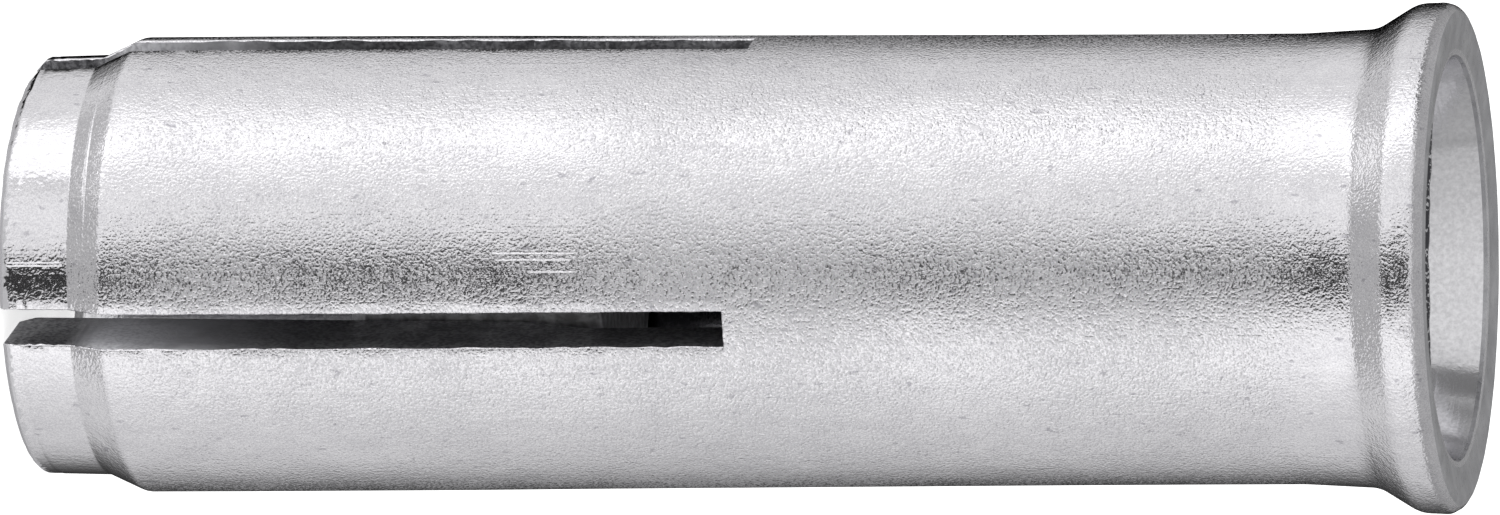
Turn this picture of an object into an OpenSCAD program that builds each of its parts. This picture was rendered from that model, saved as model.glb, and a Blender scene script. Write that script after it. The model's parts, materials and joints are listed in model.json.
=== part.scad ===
// Drop-in anchor: a slotted steel sleeve with an internal thread and a flared lip,
// and the expander plug that is driven down its tapered bore.
// The anchor stands on its slotted nose end, with its mouth up. Lengths are in millimetres.

/* [Sleeve body] */
// Length from the nose end to the mouth face
sleeve_l = 40; // [37:0.5:50]
// Diameter of the plain body, which fills the drilled hole
body_d = 12.5; // [12.2:0.1:13.2]
// Diameter of the reduced nose
nose_d = 11.54; // [11:0.02:11.9]
// Length of the reduced nose, up to the foot of its step
nose_l = 1.93; // [1.2:0.01:2.4]
// Slope of the step from nose to body, from the axis
step_angle = 28; // [20:1:60]
// Fillet at the foot of the step
step_fillet = 0.2; // [0:0.1:1]
// Rounding where the step meets the body
step_round = 0.8; // [0:0.1:2]
// Chamfer on the outer edge of the nose end
nose_chamfer = 0.12; // [0.02:0.02:0.4]

/* [Flared lip] */
// Diameter of the lip
lip_d = 14.1; // [13.6:0.1:17]
// Height of the rim, from the top of the flare to the mouth face
rim_h = 1.1; // [1:0.1:2]
// Slope of the flare, from the axis
flare_angle = 32; // [25:1:60]
// Fillet between body and flare
flare_fillet = 2.5; // [0:0.5:4]
// Rounding where the flare meets the rim
flare_round = 0.9; // [0:0.1:1.5]
// Rounding of the rim at the mouth face
rim_round = 0.55; // [0:0.05:0.6]

/* [Mouth] */
// Diameter of the opening in the mouth face
mouth_d = 11.3; // [10.9:0.1:12]
// Chamfer on the opening's edge
mouth_chamfer = 0.2; // [0.05:0.05:0.4]
// Depth of the thread-free recess behind the mouth
recess_depth = 2.2; // [1:0.1:4]
// Diameter at the foot of the recess
recess_d = 10.4; // [9.6:0.1:10.6]
// Slope of the lead-in from recess to thread, from the axis
lead_angle = 45; // [30:5:60]

/* [Thread and bore] */
// Bore of the threaded length, the minor diameter of an M10 thread
thread_bore_d = 8.5; // [8.3:0.05:8.7]
// Length of thread
thread_l = 16; // [10:0.5:17]
// Diameter of the plain bore between thread and shoulder
guide_d = 8.9; // [8.5:0.1:9.4]
// Height of the shoulder's upper edge above the nose end
shoulder_z = 16.2; // [15:0.1:18]
// Length of the shoulder cone
shoulder_l = 2; // [0.5:0.1:3]
// Diameter of the expansion bore at its upper end
taper_d = 7.7; // [7.4:0.05:8]
// Slope of the expansion bore, from the axis
taper_angle = 2.3; // [1.5:0.1:3]
// Chamfer where the expansion bore leaves the nose
bore_chamfer = 0.4; // [0.1:0.05:0.8]

/* [Expansion slots] */
// Number of slots
slot_n = 4; // [2:1:6]
// Width of a slot
slot_w = 1; // [0.6:0.1:1.6]
// Length of a slot from the nose end
slot_l = 20.4; // [14:0.1:26]
// Turn of the first slot from +X
slot_turn = 45; // [0:5:90]

/* [Expander plug] */
// Length of the plug
plug_l = 7.2; // [5:0.1:10]
// Depth of the plug's back end in the sleeve, above the nose end
plug_z = 16.5; // [15:0.1:17.5]
// Gap between plug and expansion bore before setting
plug_gap = 0.18; // [0.05:0.01:0.3]
// Chamfer on the plug's leading edge
plug_chamfer = 0.5; // [0.1:0.1:1]
// Rounding of the plug's struck edge
plug_round = 0.2; // [0:0.05:0.5]

/* [Hidden] */
$fn = 96;
arc_steps = 8;
cut_over = 1;
body_r = body_d / 2;
nose_r = nose_d / 2;
lip_r = lip_d / 2;
mouth_r = mouth_d / 2;
recess_r = recess_d / 2;
thread_r = thread_bore_d / 2;
guide_r = guide_d / 2;
step_top_z = nose_l + (body_r - nose_r) / tan(step_angle);
rim_z = sleeve_l - rim_h;
flare_z = rim_z - (lip_r - body_r) / tan(flare_angle);
recess_z = sleeve_l - recess_depth;
thread_top_z = recess_z - (recess_r - thread_r) / tan(lead_angle);
thread_foot_z = thread_top_z - thread_l;
guide_top_z = thread_foot_z - (guide_r - thread_r);
taper_z = shoulder_z - shoulder_l;
plug_foot_z = plug_z - plug_l;

// Radius of the expansion bore's cone at height z
function taper_r(z) = taper_d / 2 - (taper_z - z) * tan(taper_angle);

// Radius of the plug, parallel to the expansion bore
function plug_r(z) = taper_r(z) - plug_gap;

// Unit vector along v
function unit(v) = v / norm(v);

// Points that round corner b of the path a, b, c to radius r, as far as its sides allow
function rounded(a, b, c, r) =
    let (
        u = unit(a - b),
        v = unit(c - b),
        half = acos(u * v) / 2,
        reach = min(r / tan(half), 0.48 * norm(a - b), 0.48 * norm(c - b)),
        radius = reach * tan(half),
        centre = b + unit(u + v) * radius / sin(half),
        start = b + u * reach - centre,
        turn = 180 - 2 * half,
        side = sign(u[0] * v[1] - u[1] * v[0])
    )
    radius < 0.001 ? [b] : [
        for (i = [0 : arc_steps])
            let (t = -side * turn * i / arc_steps)
            centre + [start[0] * cos(t) - start[1] * sin(t), start[0] * sin(t) + start[1] * cos(t)]
    ];

// Closed outline through corners [r, z, rounding], each rounded in its turn
function outline(corners) =
    let (n = len(corners), flat = [for (c = corners) [c[0], c[1]]])
    [
        for (i = [0 : n - 1])
            each rounded(flat[(i + n - 1) % n], flat[i], flat[(i + 1) % n], corners[i][2])
    ];

// Section through the sleeve's wall: up the outside from the nose, then down the bore
sleeve_section = [
    [taper_r(bore_chamfer) + bore_chamfer, 0, 0],
    [nose_r - nose_chamfer, 0, 0],
    [nose_r, nose_chamfer, 0],
    [nose_r, nose_l, step_fillet],
    [body_r, step_top_z, step_round],
    [body_r, flare_z, flare_fillet],
    [lip_r, rim_z, flare_round],
    [lip_r, sleeve_l, rim_round],
    [mouth_r, sleeve_l, 0],
    [mouth_r - mouth_chamfer, sleeve_l - mouth_chamfer, 0],
    [recess_r, recess_z, 0],
    [thread_r, thread_top_z, 0],
    [thread_r, thread_foot_z, 0],
    [guide_r, guide_top_z, 0],
    [guide_r, shoulder_z, 0],
    [taper_d / 2, taper_z, 0],
    [taper_r(bore_chamfer), bore_chamfer, 0]
];

// Half section of the plug, from its axis
plug_section = [
    [0, plug_foot_z, 0],
    [plug_r(plug_foot_z) - plug_chamfer, plug_foot_z, 0],
    [plug_r(plug_foot_z + plug_chamfer), plug_foot_z + plug_chamfer, 0],
    [plug_r(plug_z), plug_z, plug_round],
    [0, plug_z, 0]
];

module expansion_slots() {
    for (i = [0 : slot_n - 1])
        rotate([0, 0, slot_turn + i * 360 / slot_n])
            translate([0, -slot_w / 2, -cut_over])
                cube([body_r + cut_over, slot_w, slot_l + cut_over]);
}

module sleeve() {
    color("silver")
        difference() {
            rotate_extrude()
                polygon(outline(sleeve_section));
            expansion_slots();
        }
}

module expander_plug() {
    color("darkgray")
        rotate_extrude()
            polygon(outline(plug_section));
}

sleeve();
expander_plug();
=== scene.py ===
"""A zinc plated drop-in anchor: a slotted sleeve with a lip and an inner thread, and its expander plug."""
import json
import math

import bmesh
import bpy
import numpy as np
from mathutils import Matrix, Vector


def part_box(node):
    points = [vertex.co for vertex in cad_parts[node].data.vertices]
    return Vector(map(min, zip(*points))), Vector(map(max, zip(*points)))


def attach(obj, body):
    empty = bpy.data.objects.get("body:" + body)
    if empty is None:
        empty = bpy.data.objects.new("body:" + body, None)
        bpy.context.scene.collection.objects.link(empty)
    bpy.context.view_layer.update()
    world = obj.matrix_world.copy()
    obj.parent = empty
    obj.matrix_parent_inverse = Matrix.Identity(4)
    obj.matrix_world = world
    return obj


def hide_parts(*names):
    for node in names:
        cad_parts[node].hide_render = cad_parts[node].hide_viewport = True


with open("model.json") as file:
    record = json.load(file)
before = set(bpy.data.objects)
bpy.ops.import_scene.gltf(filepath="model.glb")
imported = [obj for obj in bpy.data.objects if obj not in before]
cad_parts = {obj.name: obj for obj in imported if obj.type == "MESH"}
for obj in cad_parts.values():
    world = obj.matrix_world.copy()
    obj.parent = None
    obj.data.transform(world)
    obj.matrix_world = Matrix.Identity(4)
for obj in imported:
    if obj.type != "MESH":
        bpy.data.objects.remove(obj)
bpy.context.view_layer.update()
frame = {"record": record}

MM = 0.001

# Sizes of the sleeve, in millimetres, from the frame where it holds them
sleeve_low, sleeve_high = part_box("sleeve")
plug_low, plug_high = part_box("expander_plug")
mounts = {mount["name"]: mount for mount in frame["record"]["mounts"]}
SLEEVE_L = (sleeve_high.z - sleeve_low.z) / MM
LIP_R = (sleeve_high.x - sleeve_low.x) / 2 / MM
BODY_R = mounts["body"]["dims"]["r_mm"]
THREAD_R = mounts["thread"]["dims"]["r_mm"]
THREAD_L = mounts["thread"]["dims"]["length_mm"]
THREAD_MID_Z = mounts["thread"]["pos_m"][2] / MM
PLUG_FOOT_Z = plug_low.z / MM
PLUG_TOP_Z = plug_high.z / MM

# The direction that the camera looks from, in degrees about the axis
FRONT_TURN = -62.3
FRONT_ANGLE = math.radians(FRONT_TURN)

# Nose and step
NOSE_R = 5.77
NOSE_L = 1.93
STEP_ANGLE = math.radians(24.6)
STEP_FILLET = 0.15
STEP_ROUND = 0.5
# The nose narrows a little towards its end
NOSE_DRAFT = 0.045
NOSE_CHAMFER = 0.12
NOSE_ROUND = 0.1

# Flare and lip: the body starts to widen gently at the lead's height, below the flare
RIM_H = 1.1
RIM_DRAFT = 0.03
RIM_ROUND = 0.42
FLARE_ANGLE = math.radians(32)
FLARE_FILLET = 1.1
FLARE_ROUND = 0.9
LEAD_Z = 35.7
LEAD = 0.085
LEAD_ROUND = 8

# Mouth: a dished face with a low bead round the opening's edge
MOUTH_R = 5.6
MOUTH_EDGE = 0.05
MOUTH_EDGE_ROUND = 0.05
FACE_DISH = math.radians(9)
BEAD_FOOT = 0.28
BEAD_FOOT_ROUND = 0.02
BEAD_TOP = 0.17
BEAD_TOP_ROUND = 0.04
BEAD_H = 0.14

# Bore
RECESS_R = 5.2
RECESS_DEPTH = 2.2
RECESS_ROUND = 0.3
GUIDE_R = 4.45
SHOULDER_Z = 16.2
SHOULDER_L = 2.0
SHOULDER_ROUND = 0.2
TAPER_R = 3.85
TAPER_ANGLE = math.radians(2.3)
TAPER_ROUND = 0.4
BORE_CHAMFER = 0.4
BORE_CHAMFER_ROUND = 0.2

# Thread
PITCH = 1.5
THREAD_DEPTH = 0.74
GROOVE_FLOOR = PITCH / 8
FLANK_RUN = THREAD_DEPTH * math.tan(math.radians(30))
# The groove starts a little below the thread's foot and ends a little inside the recess
RUN_OUT = 0.3
RUN_IN = 0.05

# Slots: the cuts aren't quite square to each other, and a burr stands beside their rounded edges
SLOT_W = 1.0
SLOT_L = 20.4
SLOT_TURN = math.radians(45)
SLOT_N = 4
SLOT_ERROR = np.radians([0, 0, -1.4, 0])
SLOT_ANGLE = SLOT_TURN + np.arange(SLOT_N) * 2 * math.pi / SLOT_N + SLOT_ERROR
SLOT_EDGE = 0.045
BURR = 0.018
BURR_PLACE = 1.6 * SLOT_EDGE
BURR_W = 0.9 * SLOT_EDGE
BURR_SHARE = 0.5
BURR_ABOVE_ROOT = 1
BURR_FOOT_Z = 0.05

# Unevenness, as sums of waves, each its waves per unit, phase and height
BURR_WAVES = ((3.1, 0, 0.3), (7.7, 1.3, 0.2))
CHAMFER_WAVES = ((17, 0.4, 0.016), (39, 2.0, 0.022))
FOLD_WAVES = ((5, 0.4, 0.010), (23, 0.9, 0.006))
BEAD_WAVES = ((19, 0.2, 0.09), (37, 1.4, 0.12))
DENT_WAVES = ((17, 0.3, 0.006), (29, 1.7, 0.006), (41, 0.9, 0.006))
STRAY_WAVES = ((5.1, 0, 0.006), (13.7, 1, 0.006), (29.3, 2, 0.005))
SIDE_WAVES = ((7.3, 3, 0.005), (21.1, 0.5, 0.005))

# The nose end's torn chamfer, wider about one side
TORN_W = 0.11
TORN_EXTRA = 0.24
TORN_ANGLE = math.radians(FRONT_TURN - 64)
TORN_SPREAD = 0.5
TORN_TOP_Z = 0.5
TORN_MIN_R = 5
# The thin fold on the step, clear on one side, faint elsewhere, and bent upwards past its bend
FOLD_Z = 2.42
FOLD_H = 0.016
FOLD_W = 0.022
FOLD_ANGLE = math.radians(FRONT_TURN - 32)
FOLD_SPREAD = 0.38
FOLD_FAINT = 0.15
FOLD_BEND = 0.25
FOLD_RISE = 0.5
FOLD_MIN_R = NOSE_R - 0.2
# The bead at the mouth is high on one side only
BEAD_ANGLE = math.radians(FRONT_TURN - 5)
BEAD_SPREAD = 0.55
BEAD_SHARE = 0.85
BEAD_CLEAR = 0.002
# Dents in the lip's rounding
DENT_MEAN = 0.004
DENT_FOOT_Z = 39.25
DENT_RUN = 0.35
DENT_MIN_R = LIP_R - 0.6
# Chips out of the slots' edges: height, half length and depth
CHIPS = ((2.15, 0.14, 0.03), (11.3, 0.1, 0.02))
# Over which lengths the slots' edges come back to their true line, at the root and at the nose
STRAY_ROOT = 0.3
STRAY_ROOT_RUN = 0.6
STRAY_FOOT_RUN = 0.2

# How far the drawn outside stands off its nominal radius, at heights along it, and where that begins
SWELL_Z = (0, 6, 12, 16, 20.2, 24.4, 28.5, 32.6, 35.5, 38.6, 40)
SWELL = (0.09, 0.09, 0.071, 0.042, 0.022, 0, -0.02, -0.033, -0.036, 0, 0)
SKIN_R = 4.6
SKIN_RUN = 1.0

# Plug, with a shallow dimple in its struck end
PLUG_GAP = 0.18
PLUG_CHAMFER = 0.5
PLUG_ROUND = 0.2
PLUG_FOOT_ROUND = 0.1
PLUG_FLANK_ROUND = 0.15
DIMPLE_R = 1.1
DIMPLE_FLOOR_R = 0.7
DIMPLE_SIDE_DEPTH = 0.18
DIMPLE_DEPTH = 0.22
DIMPLE_ROUND = 0.2

# Heights that follow from the sizes
STEP_TOP_Z = NOSE_L + (BODY_R - NOSE_R) / math.tan(STEP_ANGLE)
RIM_Z = SLEEVE_L - RIM_H
FLARE_Z = RIM_Z - (LIP_R - BODY_R - LEAD) / math.tan(FLARE_ANGLE)
RECESS_Z = SLEEVE_L - RECESS_DEPTH
# The dished face falls from the lip's rounding, whose top is the sleeve's end, to the mouth's edge
LIP_CORNER_Z = SLEEVE_L + RIM_ROUND * (1 / math.tan((math.pi / 2 - FACE_DISH) / 2) - 1)
MOUTH_Z = LIP_CORNER_Z - (LIP_R - MOUTH_R) * math.tan(FACE_DISH)
THREAD_TOP_Z = THREAD_MID_Z + THREAD_L / 2
THREAD_FOOT_Z = THREAD_MID_Z - THREAD_L / 2
GUIDE_TOP_Z = THREAD_FOOT_Z - (GUIDE_R - THREAD_R)
TAPER_Z = SHOULDER_Z - SHOULDER_L

# Mesh density, in millimetres between rows or as numbers of columns
ROW_STEP_FINE = 0.12
ROW_STEP_PLAIN = 0.45
ROW_STEP_THREAD = 0.125
ROW_STEP_EDGE = 0.04
ROW_STEP_FOLD = 0.026
ROW_STEP_LEG = 0.4
ROW_STEP_PLUG = 0.35
LEVEL_GRID = 0.015
ROW_GAP = 0.01
LEG_COLUMNS = 29
SLOT_COLUMNS = 5
EDGE_STEPS = 4
WALL_COLUMNS = 3
PLUG_COLUMNS = 96
# Margins round the zones that have their own row spacing
FINE_PAST_STEP = 0.5
FINE_BELOW_FLARE = 1
THREAD_MARGIN = 0.4
RECESS_MARGIN = 0.1
EDGE_ZONE = 0.4
FOLD_MARGIN = 0.06
STEP_ZONE = 0.6
ROOT_MARGIN = 0.2
ROOT_GAP = 0.05

# An arc takes up at most this share of either side of its corner, and a lesser radius leaves the corner
SIDE_SHARE = 0.6
LEAST_ROUND = 0.001
SHARP_ANGLE = math.radians(35)


# The sleeve's wall section


def rounded_corner(before, corner, after, radius, steps=8):
    """Points of the arc of that radius that touches both sides of a corner, less where a side is short."""
    before, corner, after = (np.array(point, float) for point in (before, corner, after))
    towards = (before - corner) / np.linalg.norm(before - corner)
    away = (after - corner) / np.linalg.norm(after - corner)
    half = math.acos(float(np.clip(towards @ away, -1, 1))) / 2
    limit = SIDE_SHARE * min(np.linalg.norm(before - corner), np.linalg.norm(after - corner))
    reach = min(radius / math.tan(half), limit)
    radius = reach * math.tan(half)
    if radius < LEAST_ROUND:
        return corner[None, :]
    middle = towards + away
    centre = corner + middle / np.linalg.norm(middle) * radius / math.sin(half)
    start = corner + towards * reach - centre
    end = corner + away * reach - centre
    first = math.atan2(start[1], start[0])
    turn = (math.atan2(end[1], end[0]) - first + math.pi) % (2 * math.pi) - math.pi
    angles = first + turn * np.linspace(0, 1, steps + 1)
    return centre + radius * np.stack([np.cos(angles), np.sin(angles)], 1)


def outline(corners):
    """An open path through corners (radius, height, rounding), each inner corner rounded by its arc."""
    points = [np.array([corners[0][:2]], float)]
    for before, corner, after in zip(corners[:-2], corners[1:-1], corners[2:]):
        points.append(rounded_corner(before[:2], corner[:2], after[:2], corner[2]))
    points.append(np.array([corners[-1][:2]], float))
    return np.concatenate(points)


def resample(path, spacing):
    """The same path with no step longer than spacing at its height, and every point kept."""
    rows = [path[:1]]
    for start, end in zip(path[:-1], path[1:]):
        count = max(1, math.ceil(np.linalg.norm(end - start) / spacing((start[1] + end[1]) / 2) - 1e-9))
        share = np.arange(1, count + 1)[:, None] / count
        rows.append(start + (end - start) * share)
    return np.concatenate(rows)


def taper_r(z):
    """Radius of the expansion bore: a cone that narrows towards the nose."""
    return TAPER_R - (TAPER_Z - z) * math.tan(TAPER_ANGLE)


OUTSIDE = outline([
    (NOSE_R - NOSE_DRAFT - NOSE_CHAMFER, 0, 0),
    (NOSE_R - NOSE_DRAFT, NOSE_CHAMFER, NOSE_ROUND),
    (NOSE_R, NOSE_L, STEP_FILLET),
    (BODY_R, STEP_TOP_Z, STEP_ROUND),
    (BODY_R, LEAD_Z, LEAD_ROUND),
    (BODY_R + LEAD, FLARE_Z, FLARE_FILLET),
    (LIP_R - RIM_DRAFT, RIM_Z, FLARE_ROUND),
    (LIP_R, LIP_CORNER_Z, RIM_ROUND),
    (MOUTH_R + BEAD_FOOT, MOUTH_Z + BEAD_FOOT * math.tan(FACE_DISH), BEAD_FOOT_ROUND),
    (MOUTH_R + BEAD_TOP, MOUTH_Z + BEAD_H, BEAD_TOP_ROUND),
    (MOUTH_R + MOUTH_EDGE, MOUTH_Z + BEAD_H, 0),
])
INSIDE = outline([
    (MOUTH_R + MOUTH_EDGE, MOUTH_Z + BEAD_H, 0),
    (MOUTH_R, MOUTH_Z, MOUTH_EDGE_ROUND),
    (RECESS_R, RECESS_Z, RECESS_ROUND),
    (THREAD_R, THREAD_TOP_Z, 0),
    (THREAD_R, THREAD_FOOT_Z, 0),
    (GUIDE_R, GUIDE_TOP_Z, 0),
    (GUIDE_R, SHOULDER_Z, SHOULDER_ROUND),
    (TAPER_R, TAPER_Z, TAPER_ROUND),
    (taper_r(BORE_CHAMFER), BORE_CHAMFER, BORE_CHAMFER_ROUND),
    (taper_r(BORE_CHAMFER) + BORE_CHAMFER, 0, 0),
])


# Rows and columns of the sleeve


def row_spacing(z):
    """Rows on the outside lie close at the nose and the lip, and wide on the plain body."""
    if z < STEP_TOP_Z + FINE_PAST_STEP or z > FLARE_Z - FINE_BELOW_FLARE:
        return ROW_STEP_FINE
    return ROW_STEP_PLAIN


def bore_spacing(z):
    """Rows down the bore lie close in the thread and the recess, and wide below them."""
    if THREAD_FOOT_Z - THREAD_MARGIN < z < RECESS_Z + RECESS_MARGIN:
        return ROW_STEP_THREAD
    return ROW_STEP_FINE if z > RECESS_Z else ROW_STEP_PLAIN


def edge_offsets():
    """Distances from a slot's wall to the steps of its rounded edge, closest at the wall."""
    return SLOT_EDGE * (1 - np.cos(np.linspace(0, math.pi / 2, EDGE_STEPS + 1)))


def leg_levels():
    """Heights of the rows below the slots' roots, from the top down, for both the outside and the bore."""
    bands = (
        (0, EDGE_ZONE, ROW_STEP_EDGE),
        (EDGE_ZONE, NOSE_L - FOLD_MARGIN, ROW_STEP_FINE),
        (NOSE_L - FOLD_MARGIN, STEP_TOP_Z, ROW_STEP_FOLD),
        (STEP_TOP_Z, STEP_TOP_Z + STEP_ZONE, ROW_STEP_FINE),
        (STEP_TOP_Z + STEP_ZONE, SLOT_L - ROOT_MARGIN, ROW_STEP_LEG),
    )
    heights = np.concatenate([OUTSIDE[:, 1], INSIDE[:, 1]] + [np.arange(*band) for band in bands])
    levels = np.unique(np.round(heights[heights < SLOT_L - ROOT_GAP] / LEVEL_GRID))[::-1] * LEVEL_GRID
    return np.concatenate([[SLOT_L], levels])


def points_at(path, z):
    """Points of an upward path at those heights."""
    return np.stack([np.interp(z, path[:, 1], path[:, 0]), z], 1)


def sleeve_rows():
    """Rows of the wall section as one loop, from the slot's root up the outside, over the lip, down the bore,
    round the nose and up again. Returns the points, the row of the root in the bore, and the number of levels
    below it."""
    lift = SLOT_L + edge_offsets()
    above = OUTSIDE[OUTSIDE[:, 1] > lift[-1] + ROW_GAP]
    outer_up = resample(np.concatenate([points_at(OUTSIDE, lift), above]), row_spacing)
    bore = INSIDE[INSIDE[:, 1] > lift[-1] + ROW_GAP]
    inner_down = resample(np.concatenate([bore, points_at(INSIDE[::-1], lift[::-1])]), bore_spacing)
    upper = np.concatenate([outer_up, inner_down[1:]])
    levels = leg_levels()
    inner_low = points_at(INSIDE[::-1], levels)
    outer_low = points_at(OUTSIDE, levels)
    share = np.arange(1, WALL_COLUMNS + 1)[:, None] / (WALL_COLUMNS + 1)
    end_face = inner_low[-1] + (outer_low[-1] - inner_low[-1]) * share
    rows = np.concatenate([upper, inner_low[1:], end_face, outer_low[:0:-1]])
    return rows, len(upper) - 1, len(levels)


def sleeve_columns():
    """Columns round the sleeve, quarter by quarter: across the slot, its rounded edge, the leg, and the next
    slot's edge. Each is the slot it is measured from, a distance from that slot's middle plane, and a share
    of the leg."""
    half = SLOT_W / 2
    edge = half + edge_offsets()[1:]
    across = np.linspace(-half, half, SLOT_COLUMNS)
    leg = np.arange(1, LEG_COLUMNS + 1) / (LEG_COLUMNS + 1)
    offset = np.concatenate([across, edge, np.full(LEG_COLUMNS, edge[-1]), -edge[::-1]])
    share = np.concatenate([np.zeros(SLOT_COLUMNS + EDGE_STEPS), leg, np.ones(EDGE_STEPS)])
    quarter = np.repeat(np.arange(SLOT_N), len(offset))
    return quarter, np.tile(offset, SLOT_N), np.tile(share, SLOT_N), len(offset)


# Shape of the sleeve's surface


def uneven(value, waves):
    """A sum of sines, each given as waves per unit, phase and height: a repeatable unevenness about zero."""
    return sum(height * np.sin(value * rate + phase) for rate, phase, height in waves)


def turn_from(theta, middle):
    """Angle from a direction, between minus and plus half a turn."""
    return np.angle(np.exp(1j * (theta - middle)))


def smooth(share):
    """Three squares less two cubes: a rise from 0 to 1 that starts and ends level."""
    return share * share * (3 - 2 * share)


def thread_radius(r, z, theta):
    """Bore radius with a right-handed 60 degree thread cut into it: the groove's depth falls off along its
    flanks with the distance from the helix line, and fades out over the last turn."""
    phase = (z / PITCH - theta / (2 * math.pi)) % 1
    off = np.abs(phase - 0.5) * PITCH
    depth = np.clip((GROOVE_FLOOR / 2 + FLANK_RUN - off) / FLANK_RUN, 0, 1) * THREAD_DEPTH
    fade = smooth(np.clip((z - THREAD_FOOT_Z + RUN_OUT) / PITCH, 0, 1))
    zone = (z > THREAD_FOOT_Z - RUN_OUT) & (z < RECESS_Z + RUN_IN)
    return np.where(zone, np.maximum(r, THREAD_R + depth * fade), r)


def torn_radius(z, theta):
    """Radius of the torn chamfer at the nose end, a 45 degree cone whose width varies by angle: a bell about
    the wide side, plus unevenness."""
    wide = np.exp(-(turn_from(theta, TORN_ANGLE) / TORN_SPREAD) ** 2)
    width = TORN_W + TORN_EXTRA * wide + uneven(theta, CHAMFER_WAVES)
    return NOSE_R - NOSE_DRAFT + SWELL[0] - np.maximum(width - z, 0)


def step_crease(z, theta):
    """Height of the thin fold on the step: a bell-shaped ridge about a slightly wavy line round the nose,
    clear on one side and faint elsewhere."""
    off = turn_from(theta, FOLD_ANGLE)
    line = FOLD_Z + uneven(theta, FOLD_WAVES) + FOLD_RISE * np.clip(-off - FOLD_BEND, 0, 1) ** 2
    share = FOLD_FAINT + (1 - FOLD_FAINT) * np.exp(-(off / FOLD_SPREAD) ** 4)
    return FOLD_H * share * np.exp(-((z - line) / FOLD_W) ** 2)


def lip_dents(z, theta):
    """Shallow dents round the lip's rounding, deepest at its top."""
    depth = uneven(theta, DENT_WAVES) - DENT_MEAN
    return depth * np.clip((z - DENT_FOOT_Z) / DENT_RUN, 0, 1)


def bead_drop(r, z, theta):
    """How far the bead's surface lies below its full height: the bead is high and ragged on one side, and
    fades to nothing round the rest of the mouth."""
    off = turn_from(theta, BEAD_ANGLE)
    share = np.exp(-(off / BEAD_SPREAD) ** 4) * (BEAD_SHARE + uneven(theta, BEAD_WAVES))
    on_bead = (z > MOUTH_Z + BEAD_CLEAR) & (r < MOUTH_R + BEAD_FOOT)
    face = MOUTH_Z + np.maximum(r - MOUTH_R, 0) * math.tan(FACE_DISH)
    return np.where(on_bead, (1 - share) * np.maximum(z - face, 0), 0)


def saw_edge(z, side):
    """How far a slot's outer edge strays sideways along its length, on one side of the cut or the other, with
    bell-shaped chips on one side."""
    stray = uneven(z, STRAY_WAVES) + side * uneven(z, SIDE_WAVES)
    chip = sum(depth * np.exp(-((z - place) / reach) ** 2) for place, reach, depth in CHIPS)
    below_root = np.clip((SLOT_L - STRAY_ROOT - z) / STRAY_ROOT_RUN, 0, 1)
    return (stray + chip * (side > 0)) * below_root * np.clip(z / STRAY_FOOT_RUN, 0, 1)


def loop_normals(rows):
    """Outward normals of a closed path that runs counterclockwise in radius and height."""
    ahead = np.roll(rows, -1, 0) - rows
    behind = rows - np.roll(rows, 1, 0)
    ahead /= np.maximum(np.linalg.norm(ahead, axis=1, keepdims=True), 1e-9)
    behind /= np.maximum(np.linalg.norm(behind, axis=1, keepdims=True), 1e-9)
    along = ahead + behind
    along /= np.linalg.norm(along, axis=1, keepdims=True)
    return np.stack([along[:, 1], -along[:, 0]], 1)


def sleeve_points(rows, quarter, offset, share):
    """Grid of points: rows of the section by columns round the axis. Near a slot the surface falls away from
    its normal by a quarter round, with a low burr beside it. The outside stands off its radius by the swell,
    and carries the fold, the dents and the torn chamfer. The bore carries the thread."""
    next_slot = np.roll(SLOT_ANGLE, -1) + 2 * math.pi * (np.arange(SLOT_N) == SLOT_N - 1)
    step = (next_slot - SLOT_ANGLE)[quarter]
    start = SLOT_ANGLE[quarter][None, :]
    r, z = rows[:, :1], rows[:, 1:]
    normal = loop_normals(rows)
    skin = np.clip((r - SKIN_R) / SKIN_RUN, 0, 1)
    away = np.abs(offset)[None, :]
    away = away + saw_edge(z, np.sign(offset)[None, :]) * skin * (away >= SLOT_W / 2)
    in_leg = ((share > 0) & (share < 1))[None, :]
    before_slot = (share == 1)[None, :]

    def angle_from_slot(radius):
        """Angle of each column from its slot's middle, where the surface has that radius."""
        edge = np.arcsin(away / radius)
        on_leg = edge + (step - 2 * edge) * share[None, :]
        beside = np.where(before_slot, step - edge, np.sign(offset) * edge)
        return np.where(in_leg, on_leg, beside)

    turn = angle_from_slot(r)
    span = r * np.sin(np.minimum(np.abs(turn), np.abs(step - turn))) - SLOT_W / 2
    span = np.where(in_leg, span, away - SLOT_W / 2)
    reach = np.hypot(np.maximum(span, 0), np.maximum(z - SLOT_L, 0))
    inside = np.clip(SLOT_EDGE - reach, 0, SLOT_EDGE)
    drop = SLOT_EDGE - np.sqrt(np.maximum(SLOT_EDGE ** 2 - inside ** 2, 0))
    ridge = np.exp(-((reach - BURR_PLACE) / BURR_W) ** 2) * (BURR_SHARE + uneven(z, BURR_WAVES))
    outward = np.clip(normal[:, :1], 0, 1) * (z < SLOT_L + BURR_ABOVE_ROOT) * (z > BURR_FOOT_Z)
    drop = drop - BURR * ridge * outward
    radial = r - normal[:, :1] * drop + skin * np.interp(z, SWELL_Z, SWELL)
    theta = start + turn
    radial = radial + step_crease(z, theta) * (r > FOLD_MIN_R)
    radial = radial + lip_dents(z, theta) * (r > DENT_MIN_R)
    at_nose = (z < TORN_TOP_Z) & (r > TORN_MIN_R)
    radial = np.where(at_nose, np.minimum(radial, torn_radius(z, theta)), radial)
    radial = thread_radius(radial, z, theta)
    theta = start + np.where(in_leg, turn, angle_from_slot(radial))
    height = z - normal[:, 1:] * drop - bead_drop(r, z, theta)
    return np.stack([radial * np.cos(theta), radial * np.sin(theta), height], 2)


# Faces of the sleeve, each of one of five kinds
OUTSIDE_FACE, CUT_FACE, BORE_FACE, TURNED_FACE, EDGE_SHADE_FACE = range(5)
# A face whose normal has this much height is flat
FLAT_NORMAL = 0.9
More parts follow.
